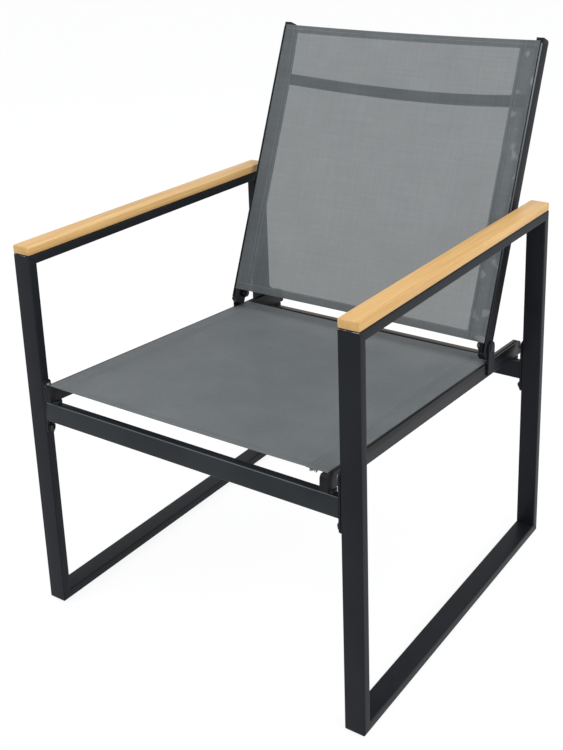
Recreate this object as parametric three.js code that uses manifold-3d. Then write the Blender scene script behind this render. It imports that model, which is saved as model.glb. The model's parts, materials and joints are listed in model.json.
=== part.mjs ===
// Sling patio chair: two welded side frames with wood armrests, a seat frame bolted between them,
// and a back that folds forward flat onto the seat.
// Millimetres. X runs to the right as seen from the front, Y to the back and Z up.
// The origin lies on the floor, under the middle of the chair's bounding box.
import * as THREE from 'three';
import { mergeVertices } from 'three/addons/utils/BufferGeometryUtils.js';
import Module from 'manifold-3d';

const wasm = await Module();
wasm.setup();

// Clearances and working values
const fitGap = 0.3;
const boreGap = 0.3;
const runningGap = 0.1;
const overrun = 5;
const weldDistance = 0.001;
const arcSteps = 4;
const roundSteps = 20;

// Side frames, welded from rectangular tube
const chairWidth = 590;
const frameDepth = 577;
const frameHeight = 580;
const tubeWidth = 32;
const tubeDepth = 14.5;
const tubeWall = 1.5;
const tubeCorner = 2;

// Armrests and their screws
const armrestThickness = 13;
const armrestEdge = 2;
const armrestCorner = 2.5;
const screwRadius = 2;
const screwHeadRadius = 4.3;
const screwHeadHeight = 2.8;
const screwGrip = 10;
const screwInset = 70;

// Glides plugged into the floor rails
const glideRadius = 10;
const glideHeight = 5.7;
const glideChamfer = 1.5;
const glideStemRadius = 4;
const glideStemLength = 9;
const glideFrontInset = 31;
const glideRearInset = 44;

// Seat frame: it slopes down to the back, and its height is that of the rails' underside halfway
const seatHeight = 338;
const seatSlope = THREE.MathUtils.degToRad(3.6);
const crossRailHeight = 30;
const crossRailDepth = 14.5;
const riserHeight = 6;

// End plates that bolt the cross rails to the legs
const plateThickness = 3;
const plateBelow = 23.5;
const plateAbove = 36;
const plateBoltInset = 10.5;
const plateBoltRadius = 3;
const plateBoltReach = 12;
const plateBoltFlangeRadius = 6.5;
const plateBoltFlange = 1.6;
const plateBoltHeadRadius = 5.2;
const plateBoltHead = 3.3;
const socketRadius = 2.3;
const socketDepth = 2;

// Sling extrusion, used for the seat rails and the back posts
const railWidth = 12.5;
const railDepth = 25;
const railWall = 1.6;
const railCorner = 2;
const grooveInset = 4.1;
const grooveSlot = 2.5;
const grooveRadius = 2.8;
const grooveLip = 1.5;
const grooveWeb = 1.4;
const railToLeg = 12.5;
const railFrontOverhang = 0.5;
const railRearInset = 1.8;

// Caps on the ends of the extrusions
const capLength = 9;
const capRound = 7;
const capFrontRound = 2;
const capPlug = 12;

// Slings and the rods that hold their hems in the grooves
const slingThickness = 1;
const slingPocketRadius = 2.4;
const splineRadius = 1.5;
const slingOverCap = 4;
const seatSlingPastPivot = 21;
const backSlingBottom = 5.2;
const backSlingDip = 2.5;
const splineInset = 3;

// Back: posts, hinge and bowed bar
const backLean = THREE.MathUtils.degToRad(22.3);
const postLength = 488.7;
const postFoot = 10;
const pivotInset = 116;
const pivotRise = 24.6;
const pivotDepth = 16.5;
const footClearance = 2.2;
const bowBarHeight = 20;
const bowBarThickness = 12;
const bowBarAlong = 396.5;
const bowDepth = 55;
const bowSteps = 24;

// Hinge hardware
const bracketThickness = 3;
const bracketWidth = 20.6;
const bracketOverlap = 20;
const bracketCorner = 2;
const pivotBoltRadius = 4;
const pivotHeadRadius = 6.4;
const pivotHeadHeight = 2.2;
const pivotNutAcross = 13;
const pivotNutHeight = 6.5;
const pivotBoltProud = 2;

// Places worked out from the sizes above
const halfWidth = chairWidth / 2;
const legInnerX = halfWidth - tubeWidth;
const tubeCentreX = halfWidth - tubeWidth / 2;
const mitreBack = fitGap / Math.SQRT2;
const tubeBottom = glideHeight + fitGap;
const plateInnerX = legInnerX - fitGap - plateThickness;
const crossRailHalf = plateInnerX - fitGap;
const crossRailDrop = fitGap + riserHeight + crossRailHeight / 2;
const crossRailOffset = (frameDepth - tubeDepth) / 2;
const railOuterX = legInnerX - railToLeg;
const railCentreX = railOuterX - railWidth / 2;
const railInnerX = railOuterX - railWidth;
const seatRailFront = frameDepth / 2 + railFrontOverhang;
const seatRailRear = frameDepth / 2 - railRearInset;
const pivotBack = frameDepth / 2 - pivotInset;
const seatSlingFront = seatRailFront + slingOverCap;
const seatSlingRear = pivotBack + seatSlingPastPivot;
const backSlingTop = postLength + slingOverCap;
const grooveCentreX = railWidth / 2 - grooveInset;
const grooveDrop = grooveLip + grooveRadius;
const chamberTop = grooveDrop + grooveRadius + grooveWeb;
const chamberWidth = railWidth - 2 * railWall;
const chamberDepth = railDepth - chamberTop - railWall;
const chamberMiddle = chamberTop + chamberDepth / 2;
const bracketInnerX = railOuterX + fitGap;
const footRadius = pivotRise - fitGap - slingThickness - footClearance;
const backSwing = backLean - seatSlope;

// Materials
const frameCoat = new THREE.MeshStandardMaterial({ color: 0x2c2f33, roughness: 0.55, metalness: 0.3 });
const railCoat = new THREE.MeshStandardMaterial({ color: 0x25282c, roughness: 0.5, metalness: 0.3 });
const armWood = new THREE.MeshStandardMaterial({ color: 0xdcae70, roughness: 0.6, metalness: 0 });
const meshFabric = new THREE.MeshStandardMaterial({ color: 0x797e80, roughness: 0.8, metalness: 0 });
const blackPlastic = new THREE.MeshStandardMaterial({ color: 0x18191b, roughness: 0.6, metalness: 0 });
const blackSteel = new THREE.MeshStandardMaterial({ color: 0x26272a, roughness: 0.4, metalness: 0.8 });

// Turns a closed geometry into a solid that can be cut and joined
function solidOf(geometry) {
  const bare = geometry.clone();
  bare.deleteAttribute('normal');
  bare.deleteAttribute('uv');
  const merged = mergeVertices(bare, weldDistance);
  return new wasm.Manifold(new wasm.Mesh({
    numProp: 3,
    vertProperties: merged.attributes.position.array,
    triVerts: new Uint32Array(merged.index.array),
  }));
}

// Turns a solid back into a geometry
function geometryOf(solid) {
  const mesh = solid.getMesh();
  const geometry = new THREE.BufferGeometry();
  geometry.setAttribute('position', new THREE.BufferAttribute(mesh.vertProperties, 3));
  geometry.setIndex(new THREE.BufferAttribute(mesh.triVerts, 1));
  geometry.computeVertexNormals();
  return geometry;
}

function addPiece(parent, name, solid, material) {
  const piece = new THREE.Mesh(geometryOf(solid), material);
  piece.name = name;
  parent.add(piece);
  return piece;
}

// Straight extrusion of a shape along +Z, from zero
function prism(shape, length) {
  return new THREE.ExtrudeGeometry(shape, { depth: length, bevelEnabled: false, curveSegments: arcSteps });
}

// Lays a prism along +X, with its shape's x along Y and its y along Z
function layAlongX(geometry) {
  const basis = new THREE.Matrix4().makeBasis(
    new THREE.Vector3(0, 1, 0),
    new THREE.Vector3(0, 0, 1),
    new THREE.Vector3(1, 0, 0),
  );
  return geometry.applyMatrix4(basis);
}

// Solid of revolution about Z from [radius, height] points, lowest first
function turned(points) {
  const profile = points.map(([radius, height]) => new THREE.Vector2(radius, height));
  return new THREE.LatheGeometry(profile, roundSteps).rotateX(Math.PI / 2);
}

function rod(radius, length, steps = roundSteps) {
  return new THREE.CylinderGeometry(radius, radius, length, steps).rotateX(Math.PI / 2);
}

// Rod along X, centred on the given place
function crossRod(radius, length, x, y, z, steps = roundSteps) {
  return new THREE.CylinderGeometry(radius, radius, length, steps).rotateZ(Math.PI / 2).translate(x, y, z);
}

function block(sizeX, sizeY, sizeZ, x, y, z) {
  return new THREE.BoxGeometry(sizeX, sizeY, sizeZ).translate(x, y, z);
}

// Rectangle with a radius for each corner: low left, low right, high right, high left
function roundedShape(left, right, low, high, radii) {
  const [lowLeft, lowRight, highRight, highLeft] = radii;
  const quarter = Math.PI / 2;
  const shape = new THREE.Shape();
  shape.moveTo(left + lowLeft, low);
  shape.lineTo(right - lowRight, low);
  if (lowRight > 0) shape.absarc(right - lowRight, low + lowRight, lowRight, -quarter, 0, false);
  shape.lineTo(right, high - highRight);
  if (highRight > 0) shape.absarc(right - highRight, high - highRight, highRight, 0, quarter, false);
  shape.lineTo(left + highLeft, high);
  if (highLeft > 0) shape.absarc(left + highLeft, high - highLeft, highLeft, quarter, Math.PI, false);
  shape.lineTo(left, low + lowLeft);
  if (lowLeft > 0) shape.absarc(left + lowLeft, low + lowLeft, lowLeft, Math.PI, Math.PI + quarter, false);
  return shape;
}

function evenRadii(radius) {
  return [radius, radius, radius, radius];
}

// Rectangular tube along Z, open at both ends: its outer face lies at y = 0, its inner at the depth
function boxTube(width, depth, wall, corner, length) {
  const outer = roundedShape(-width / 2, width / 2, 0, depth, evenRadii(corner));
  const inner = roundedShape(-width / 2 + wall, width / 2 - wall, wall, depth - wall, evenRadii(0));
  outer.holes.push(inner);
  return prism(outer, length).translate(0, 0, -length / 2);
}

// One side of the welded rectangle: mitred so that its outer face is the long one
function mitredTube(length) {
  const tube = solidOf(boxTube(tubeWidth, tubeDepth, tubeWall, tubeCorner, length + 2 * overrun));
  const longHalf = length / 2 + overrun - mitreBack;
  const shortHalf = length / 2 - tubeDepth - overrun - mitreBack;
  const mitre = new THREE.Shape();
  mitre.moveTo(-overrun, -longHalf);
  mitre.lineTo(tubeDepth + overrun, -shortHalf);
  mitre.lineTo(tubeDepth + overrun, shortHalf);
  mitre.lineTo(-overrun, longHalf);
  const keep = layAlongX(prism(mitre, tubeWidth + 2 * overrun)).translate(-tubeWidth / 2 - overrun, 0, 0);
  return tube.intersect(solidOf(keep));
}

// Height of a cross rail's centre, front (-1) or rear (+1), and its place along the seat frame
function crossRailPlace(end) {
  const along = (end * crossRailOffset + crossRailDrop * Math.sin(seatSlope)) / Math.cos(seatSlope);
  const height = seatHeight - along * Math.sin(seatSlope) - crossRailDrop * Math.cos(seatSlope);
  return { along, height };
}

// Heights of the two bolts of an end plate above the tube bottom
function plateBoltHeights(end) {
  const centre = crossRailPlace(end).height;
  const low = centre - crossRailHeight / 2 - plateBelow + plateBoltInset;
  const high = centre + crossRailHeight / 2 + plateAbove - plateBoltInset;
  return [low, high];
}

function addSideFrame(side, sideName) {
  for (const [end, endName] of [[-1, 'front'], [1, 'rear']]) {
    let leg = mitredTube(frameHeight);
    for (const height of plateBoltHeights(end)) {
      const hole = crossRod(
        plateBoltRadius + boreGap,
        tubeWall + 2 * overrun,
        -tubeWidth / 2,
        tubeDepth / 2,
        height - frameHeight / 2,
      );
      leg = leg.subtract(solidOf(hole));
    }
    const piece = addPiece(side, `${sideName}_${endName}_leg`, leg, frameCoat);
    piece.scale.y = -end;
    piece.position.set(tubeCentreX, end * frameDepth / 2, frameHeight / 2);
  }

  let armRail = mitredTube(frameDepth);
  for (const end of [-1, 1]) {
    const along = end * (frameDepth / 2 - screwInset);
    const hole = rod(screwRadius + boreGap, tubeDepth + 2 * overrun).rotateX(Math.PI / 2);
    armRail = armRail.subtract(solidOf(hole.translate(0, tubeDepth / 2, along)));
  }
  const armPiece = addPiece(side, `${sideName}_arm_rail`, armRail, frameCoat);
  armPiece.rotation.x = -Math.PI / 2;
  armPiece.position.set(tubeCentreX, 0, frameHeight);

  let floorRail = mitredTube(frameDepth);
  for (const along of glidePlaces()) {
    const hole = rod(glideStemRadius + boreGap, 2 * (tubeWall + overrun)).rotateX(Math.PI / 2);
    floorRail = floorRail.subtract(solidOf(hole.translate(0, 0, -along)));
  }
  const floorPiece = addPiece(side, `${sideName}_floor_rail`, floorRail, frameCoat);
  floorPiece.rotation.x = Math.PI / 2;
  floorPiece.position.set(tubeCentreX, 0, 0);
}

// Places of the glides along the floor rail
function glidePlaces() {
  return [-frameDepth / 2 + glideFrontInset, frameDepth / 2 - glideRearInset];
}

// Round foot pad with a stem that plugs into the floor rail
function addGlides(side, sideName) {
  const glide = turned([
    [0, 0],
    [glideRadius - glideChamfer, 0],
    [glideRadius, glideChamfer],
    [glideRadius, glideHeight],
    [glideStemRadius, glideHeight],
    [glideStemRadius, glideHeight + glideStemLength],
    [0, glideHeight + glideStemLength],
  ]);
  const ends = ['front', 'rear'];
  glidePlaces().forEach((along, index) => {
    const piece = addPiece(side, `${sideName}_${ends[index]}_glide`, solidOf(glide), blackPlastic);
    piece.position.set(tubeCentreX, along, -tubeBottom);
  });
}

// Board with eased edges on the arm rail, with blind holes for its two screws
function addArmrest(side, sideName) {
  const plan = roundedShape(
    -tubeWidth / 2,
    tubeWidth / 2,
    -frameDepth / 2,
    frameDepth / 2,
    evenRadii(armrestCorner),
  );
  const board = new THREE.ExtrudeGeometry(plan, {
    depth: armrestThickness - 2 * armrestEdge,
    bevelThickness: armrestEdge,
    bevelSize: armrestEdge,
    bevelOffset: -armrestEdge,
    bevelSegments: arcSteps - 1,
    curveSegments: arcSteps,
  });
  let armrest = solidOf(board.translate(0, 0, armrestEdge));
  const screwLength = tubeDepth + 2 * fitGap + screwGrip;
  for (const [end, endName] of [[-1, 'front'], [1, 'rear']]) {
    const along = end * (frameDepth / 2 - screwInset);
    const holeLength = screwGrip + boreGap + overrun;
    const hole = rod(screwRadius + boreGap, holeLength);
    armrest = armrest.subtract(solidOf(hole.translate(0, along, holeLength / 2 - overrun)));
    const screw = turned([
      [0, -screwHeadHeight],
      [screwHeadRadius / 2, -screwHeadHeight],
      [screwHeadRadius, -screwHeadHeight / 2],
      [screwHeadRadius, 0],
      [screwRadius, 0],
      [screwRadius, screwLength - screwRadius],
      [0, screwLength],
    ]);
    const piece = addPiece(side, `${sideName}_armrest_${endName}_screw`, solidOf(screw), blackSteel);
    piece.position.set(tubeCentreX, along, frameHeight - tubeDepth - fitGap);
  }
  const piece = addPiece(side, `${sideName}_armrest`, armrest, armWood);
  piece.position.set(tubeCentreX, 0, frameHeight + fitGap);
}

// Button head bolt with a flange and a hexagon socket; its head lies below zero, its shank above
function flangeBolt() {
  const headTop = plateBoltFlange + plateBoltHead;
  const length = plateThickness + 2 * fitGap + plateBoltReach;
  const body = turned([
    [0, -headTop],
    [plateBoltHeadRadius / 2, -headTop],
    [plateBoltHeadRadius, -plateBoltFlange - plateBoltHead / 3],
    [plateBoltHeadRadius, -plateBoltFlange],
    [plateBoltFlangeRadius, -plateBoltFlange],
    [plateBoltFlangeRadius, 0],
    [plateBoltRadius, 0],
    [plateBoltRadius, length],
    [0, length],
  ]);
  const socket = rod(socketRadius, 2 * socketDepth, 6).translate(0, 0, -headTop);
  return solidOf(body).subtract(solidOf(socket));
}

// End plates with round ends on the legs' inner faces, two bolts each
function addEndPlates(side, sideName) {
  for (const [end, endName] of [[-1, 'front'], [1, 'rear']]) {
    const centre = crossRailPlace(end).height;
    const low = centre - crossRailHeight / 2 - plateBelow;
    const high = centre + crossRailHeight / 2 + plateAbove;
    const endRound = tubeDepth / 2 - weldDistance;
    const outline = roundedShape(-tubeDepth / 2, tubeDepth / 2, low, high, evenRadii(endRound));
    let plate = solidOf(layAlongX(prism(outline, plateThickness)));
    plateBoltHeights(end).forEach((height, index) => {
      const hole = crossRod(plateBoltRadius + boreGap, plateThickness + 2 * overrun, 0, 0, height);
      plate = plate.subtract(solidOf(hole));
      const level = ['low', 'high'][index];
      const bolt = addPiece(side, `${sideName}_${endName}_${level}_plate_bolt`, flangeBolt(), blackSteel);
      bolt.rotation.y = Math.PI / 2;
      bolt.position.set(plateInnerX - fitGap, end * crossRailOffset, height);
    });
    const piece = addPiece(side, `${sideName}_${endName}_end_plate`, plate, frameCoat);
    piece.position.set(plateInnerX, end * crossRailOffset, 0);
  }
}

// Cross section of the sling extrusion: its grooved face lies at y = 0, the groove near +x
function railSection() {
  const half = railWidth / 2;
  const slotEnd = grooveCentreX + grooveSlot / 2;
  const slotStart = grooveCentreX - grooveSlot / 2;
  const mouth = Math.asin(grooveSlot / 2 / grooveRadius);
  const quarter = Math.PI / 2;
  const shape = new THREE.Shape();
  shape.moveTo(-half + railCorner, -railDepth);
  shape.lineTo(half - railCorner, -railDepth);
  shape.absarc(half - railCorner, -railDepth + railCorner, railCorner, -quarter, 0, false);
  shape.lineTo(half, -railCorner / 2);
  shape.absarc(half - railCorner / 2, -railCorner / 2, railCorner / 2, 0, quarter, false);
  shape.lineTo(slotEnd, 0);
  const grooveEnd = quarter + mouth - 2 * Math.PI;
  shape.absarc(grooveCentreX, -grooveDrop, grooveRadius, quarter - mouth, grooveEnd, true);
  shape.lineTo(slotStart, 0);
  shape.lineTo(-half + railCorner, 0);
  shape.absarc(-half + railCorner, -railCorner, railCorner, quarter, Math.PI, false);
  shape.lineTo(-half, -railDepth + railCorner);
  shape.absarc(-half + railCorner, -railDepth + railCorner, railCorner, Math.PI, Math.PI + quarter, false);
  shape.holes.push(roundedShape(
    -chamberWidth / 2,
    chamberWidth / 2,
    -chamberTop - chamberDepth,
    -chamberTop,
    evenRadii(0),
  ));
  return shape;
}

// Cap for an end of the extrusion along +Z: a rounded head and a plug that fills the chamber.
// Its grooved face lies at y = 0 and the head starts at zero.
function endCap(grooveRound, backRound) {
  const half = railWidth / 2;
  const head = solidOf(prism(
    roundedShape(-half, half, -railDepth, 0, evenRadii(railCorner)),
    capLength,
  ).translate(0, 0, fitGap));
  const sideOutline = roundedShape(
    -railDepth,
    0,
    0,
    fitGap + capLength,
    [0, 0, grooveRound, backRound],
  );
  const sideBlank = layAlongX(prism(sideOutline, railWidth + 2 * overrun));
  const sideView = solidOf(sideBlank.translate(-half - overrun, 0, 0));
  const plug = block(
    chamberWidth - 2 * fitGap,
    chamberDepth - 2 * fitGap,
    capPlug + 2 * fitGap,
    0,
    -chamberMiddle,
    2 * fitGap - (capPlug + 2 * fitGap) / 2,
  );
  return head.intersect(sideView).add(solidOf(plug));
}

// Seat sling or back sling cut to a cross section: a sheet over both rails' grooved faces, whose
// hems turn down into the grooves and wrap the rods. It runs along +Z, rails' faces at y = 0.
function slingSection() {
  const centre = railOuterX - grooveInset;
  const bendX = centre - grooveSlot / 2;
  const topY = fitGap + slingThickness;
  const neckInner = bendX + fitGap - centre;
  const neckOuter = neckInner + slingThickness;
  const innerAngle = Math.acos(neckInner / slingPocketRadius);
  const outerAngle = Math.acos(neckOuter / slingPocketRadius);
  const wrapStart = Math.PI - innerAngle;
  const wrapEnd = -Math.PI - outerAngle;
  const quarter = Math.PI / 2;
  const shape = new THREE.Shape();
  shape.moveTo(-bendX, topY);
  shape.lineTo(-bendX, fitGap);
  shape.absarc(-bendX, 0, fitGap, quarter, Math.PI, false);
  shape.absarc(-centre, -grooveDrop, slingPocketRadius, wrapStart, wrapEnd, true);
  shape.absarc(-bendX, 0, topY, Math.PI, quarter, true);
  const left = shape.getPoints(arcSteps).slice(1);
  const outline = new THREE.Shape();
  outline.setFromPoints([
    ...left.map((point) => new THREE.Vector2(point.x, point.y)),
    ...left.map((point) => new THREE.Vector2(-point.x, point.y)).reverse(),
  ]);
  for (const x of [-centre, centre]) {
    const pocket = new THREE.Path();
    pocket.absarc(x, -grooveDrop, splineRadius + fitGap, 0, 2 * Math.PI, false);
    outline.holes.push(pocket);
  }
  return outline;
}

// Group that holds the sloping seat frame: its own Y runs back along the rails' underside
function seatFrame(parent) {
  const seat = new THREE.Group();
  seat.position.z = seatHeight;
  seat.rotation.x = -seatSlope;
  parent.add(seat);
  return seat;
}

// Group that turns about the hinge: its own Z runs up along the posts, its origin is the pivot
function backFrame(seat) {
  const back = new THREE.Group();
  back.position.set(0, pivotBack, railDepth + pivotRise);
  back.rotation.x = -backSwing;
  seat.add(back);
  return back;
}

// Seat rail with its caps and the rod in its groove
function addSeatRail(side, sideName) {
  const seat = seatFrame(side);
  const length = seatRailFront + seatRailRear;
  const rail = addPiece(seat, `${sideName}_seat_rail`, solidOf(prism(railSection(), length)), railCoat);
  rail.rotation.x = Math.PI / 2;
  rail.position.set(railCentreX, seatRailRear, railDepth);

  const cap = endCap(capRound, capFrontRound);
  const frontCap = addPiece(seat, `${sideName}_seat_rail_front_cap`, cap, blackPlastic);
  frontCap.rotation.x = Math.PI / 2;
  frontCap.position.set(railCentreX, -seatRailFront, railDepth);

  const rearCap = addPiece(seat, `${sideName}_seat_rail_rear_cap`, cap, blackPlastic);
  rearCap.rotation.x = Math.PI / 2;
  rearCap.scale.z = -1;
  rearCap.position.set(railCentreX, seatRailRear, railDepth);

  const splineFront = seatRailFront - splineInset;
  const splineLength = splineFront + seatSlingRear - splineInset;
  const splineRod = solidOf(rod(splineRadius, splineLength));
  const spline = addPiece(seat, `${sideName}_seat_spline`, splineRod, blackPlastic);
  spline.rotation.x = Math.PI / 2;
  spline.position.set(
    railCentreX + grooveCentreX,
    splineLength / 2 - splineFront,
    railDepth - grooveDrop,
  );
  return seat;
}

// Hinge: a bracket welded to the rail's outer face, the pivot bolt and its nut
function addHinge(seat, sideName) {
  const pivotZ = railDepth + pivotRise;
  const half = bracketWidth / 2;
  const low = railDepth - bracketOverlap;
  const outline = new THREE.Shape();
  outline.moveTo(-half + bracketCorner, low);
  outline.lineTo(half - bracketCorner, low);
  outline.absarc(half - bracketCorner, low + bracketCorner, bracketCorner, -Math.PI / 2, 0, false);
  outline.absarc(0, pivotZ, half, 0, Math.PI, false);
  outline.absarc(-half + bracketCorner, low + bracketCorner, bracketCorner, Math.PI, 1.5 * Math.PI, false);
  const plate = solidOf(layAlongX(prism(outline, bracketThickness)));
  const hole = crossRod(pivotBoltRadius + boreGap, bracketThickness + 2 * overrun, 0, 0, pivotZ);
  const bracket = addPiece(seat, `${sideName}_hinge_bracket`, plate.subtract(solidOf(hole)), frameCoat);
  bracket.position.set(bracketInnerX, pivotBack, 0);

  const headFaceX = bracketInnerX + bracketThickness + fitGap;
  const tipX = railInnerX - 2 * fitGap - pivotNutHeight - pivotBoltProud;
  const shankLength = headFaceX - tipX;
  const bolt = turned([
    [0, -pivotHeadHeight],
    [pivotHeadRadius / 2, -pivotHeadHeight],
    [pivotHeadRadius, -pivotHeadHeight / 3],
    [pivotHeadRadius, 0],
    [pivotBoltRadius, 0],
    [pivotBoltRadius, shankLength],
    [0, shankLength],
  ]);
  const boltPiece = addPiece(seat, `${sideName}_pivot_bolt`, solidOf(bolt), blackSteel);
  boltPiece.rotation.y = -Math.PI / 2;
  boltPiece.position.set(headFaceX, pivotBack, pivotZ);

  const nutBlank = solidOf(rod(pivotNutAcross / Math.sqrt(3), pivotNutHeight, 6));
  const nutBore = solidOf(rod(pivotBoltRadius + boreGap, pivotNutHeight + 2 * overrun));
  const nut = addPiece(seat, `${sideName}_pivot_nut`, nutBlank.subtract(nutBore), blackSteel);
  nut.rotation.y = Math.PI / 2;
  nut.position.set(railInnerX - fitGap - pivotNutHeight / 2, pivotBack, pivotZ);
}

// Side view of the post's foot, pivot at zero: the toe is round about the pivot so that the back
// can fold, and the heel is cut flat so that it comes to rest over the seat rail
function footOutline() {
  const front = -pivotDepth;
  const rear = railDepth - pivotDepth;
  const toeAngle = -Math.acos(front / footRadius);
  const heelAngle = backSwing - Math.PI / 2;
  const heelDrop = (footRadius - rear * Math.sin(backSwing)) / Math.cos(backSwing);
  const outline = new THREE.Shape();
  outline.moveTo(front - overrun, 0);
  outline.lineTo(front - overrun, footRadius * Math.sin(toeAngle));
  outline.absarc(0, 0, footRadius, toeAngle, heelAngle, false);
  outline.lineTo(rear, -heelDrop);
  outline.lineTo(rear + overrun, -heelDrop);
  outline.lineTo(rear + overrun, 0);
  return outline;
}

// Post of the back with its top cap, foot plug and the rod in its groove
function addPost(back, sideName) {
  const frontY = -pivotDepth;
  const bore = solidOf(crossRod(pivotBoltRadius + runningGap, railWidth + 2 * overrun, 0, 0, 0));
  const blank = prism(railSection(), postLength + postFoot).rotateX(Math.PI);
  const extrusion = solidOf(blank.translate(0, frontY, postLength));
  const post = addPiece(back, `${sideName}_back_post`, extrusion.subtract(bore), railCoat);
  post.position.x = railCentreX;

  const half = railWidth / 2;
  const footSection = roundedShape(-half, half, frontY, frontY + railDepth, evenRadii(railCorner));
  const footBlank = prism(footSection, footRadius).translate(0, 0, -footRadius - postFoot - fitGap);
  const foot = layAlongX(prism(footOutline(), railWidth + 2 * overrun)).translate(-half - overrun, 0, 0);
  const plugTop = pivotBoltRadius + capPlug;
  const plugLength = plugTop + postFoot + 2 * fitGap;
  const plugBlank = block(
    chamberWidth - 2 * fitGap,
    chamberDepth - 2 * fitGap,
    plugLength,
    0,
    frontY + chamberMiddle,
    plugTop - plugLength / 2,
  );
  const footHead = solidOf(footBlank).intersect(solidOf(foot));
  const plugSolid = footHead.add(solidOf(plugBlank)).subtract(bore);
  const plug = addPiece(back, `${sideName}_post_foot_plug`, plugSolid, blackPlastic);
  plug.position.x = railCentreX;

  const cap = addPiece(back, `${sideName}_post_top_cap`, endCap(capFrontRound, capRound), blackPlastic);
  cap.rotation.x = Math.PI;
  cap.scale.z = -1;
  cap.position.set(railCentreX, frontY, postLength);

  const splineBottom = backSlingBottom + splineInset;
  const splineTop = postLength - splineInset;
  const splineLength = splineTop - splineBottom;
  const splineRod = solidOf(rod(splineRadius, splineLength));
  const spline = addPiece(back, `${sideName}_back_spline`, splineRod, blackPlastic);
  spline.position.set(
    railCentreX + grooveCentreX,
    frontY + grooveDrop,
    (splineTop + splineBottom) / 2,
  );
}

// Cross rails with a riser welded on under each seat rail
function addCrossRails(seat) {
  for (const [end, endName] of [[-1, 'front'], [1, 'rear']]) {
    const tube = boxTube(crossRailHeight, crossRailDepth, tubeWall, tubeCorner, 2 * crossRailHalf);
    const turnedTube = tube.rotateZ(Math.PI / 2).translate(crossRailDepth / 2, 0, 0).rotateY(Math.PI / 2);
    let solid = solidOf(turnedTube.rotateX(Math.PI / 2));
    for (const side of [-1, 1]) {
      const riser = block(
        railWidth,
        crossRailDepth - 2 * tubeCorner,
        riserHeight + tubeWall,
        side * railCentreX,
        0,
        (crossRailHeight + riserHeight - tubeWall) / 2,
      );
      solid = solid.add(solidOf(riser));
    }
    const rail = addPiece(seat, `${endName}_cross_rail`, solid, frameCoat);
    rail.position.set(0, crossRailPlace(end).along, -crossRailDrop);
  }
}

// Takes the hems off a sling where its sheet runs on over the caps, between two places along it
function trimHems(sling, start, end) {
  const hemRoom = grooveDrop + slingPocketRadius + overrun;
  const cut = block(chairWidth, hemRoom, end - start, 0, -hemRoom / 2, (start + end) / 2);
  return sling.subtract(solidOf(cut));
}

function addSeatSling(seat) {
  const length = seatSlingFront + seatSlingRear;
  const whole = solidOf(prism(slingSection(), length));
  const hemEnd = seatRailFront - fitGap + seatSlingRear;
  const sling = addPiece(seat, 'seat_sling', trimHems(whole, hemEnd, length + overrun), meshFabric);
  sling.rotation.x = Math.PI / 2;
  sling.position.set(0, seatSlingRear, railDepth);
}

// Back sling: its top edge dips a little between the posts
function addBackSling(back) {
  const length = backSlingTop - backSlingBottom;
  const whole = solidOf(prism(slingSection(), length));
  const trimmed = trimHems(whole, -overrun, backSlingTop - postLength + fitGap);
  const halfSpan = railOuterX - grooveInset - grooveSlot;
  const dipRadius = (halfSpan ** 2 + backSlingDip ** 2) / (2 * backSlingDip);
  const dipAngle = Math.asin(halfSpan / dipRadius);
  const dipStart = -Math.PI / 2 - dipAngle;
  const dipEnd = -Math.PI / 2 + dipAngle;
  const dip = new THREE.Shape();
  dip.moveTo(-halfSpan, overrun);
  dip.lineTo(-halfSpan, 0);
  dip.absarc(0, dipRadius - backSlingDip, dipRadius, dipStart, dipEnd, false);
  dip.lineTo(halfSpan, overrun);
  const cutter = solidOf(prism(dip, 2 * overrun).rotateX(-Math.PI / 2).translate(0, -overrun, 0));
  const sling = addPiece(back, 'back_sling', trimmed.subtract(cutter), meshFabric);
  sling.rotation.x = Math.PI;
  sling.position.set(0, -pivotDepth, backSlingTop);
}

// Flat oval bar behind the back sling, bowed to the rear and trimmed to the posts' inner faces
function addBowBar(back) {
  const halfSpan = railInnerX - fitGap;
  const endY = railDepth / 2 - pivotDepth;
  const reach = halfSpan + bowBarHeight;
  const bowAt = (x) => endY + bowDepth * (1 - (x / halfSpan) ** 2);
  const places = Array.from({ length: bowSteps + 1 }, (_, index) => {
    const x = reach * (2 * index / bowSteps - 1);
    return new THREE.Vector3(x, bowAt(x), 0);
  });
  const round = bowBarThickness / 2 - weldDistance;
  const section = roundedShape(
    -bowBarHeight / 2,
    bowBarHeight / 2,
    -bowBarThickness / 2,
    bowBarThickness / 2,
    evenRadii(round),
  );
  const swept = new THREE.ExtrudeGeometry(section, {
    steps: bowSteps,
    extrudePath: new THREE.CatmullRomCurve3(places),
    curveSegments: arcSteps,
  });
  const trim = block(2 * halfSpan, 2 * reach, 2 * bowBarHeight, 0, 0, 0);
  const bar = addPiece(back, 'back_bow_bar', solidOf(swept).intersect(solidOf(trim)), railCoat);
  bar.position.z = bowBarAlong;
}

const chair = new THREE.Group();

for (const [mirror, sideName] of [[1, 'right'], [-1, 'left']]) {
  const side = new THREE.Group();
  side.scale.x = mirror;
  chair.add(side);
  addSideFrame(side, sideName);
  addGlides(side, sideName);
  addArmrest(side, sideName);
  addEndPlates(side, sideName);
  const seat = addSeatRail(side, sideName);
  addHinge(seat, sideName);
  addPost(backFrame(seat), sideName);
}

const seat = seatFrame(chair);
addCrossRails(seat);
addSeatSling(seat);
const back = backFrame(seat);
addBackSling(back);
addBowBar(back);

// The origin goes to the floor, under the middle of the bounding box
const box = new THREE.Box3().setFromObject(chair, true);
chair.position.set(0, -(box.min.y + box.max.y) / 2, -box.min.z);

export default chair;
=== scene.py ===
# Dresses the sling patio chair: finishes on the rigid pieces, the two stretched mesh slings with
# their hems, side bands and stitching, and the studio. Lengths are in metres.
import json
import math
import random

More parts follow.
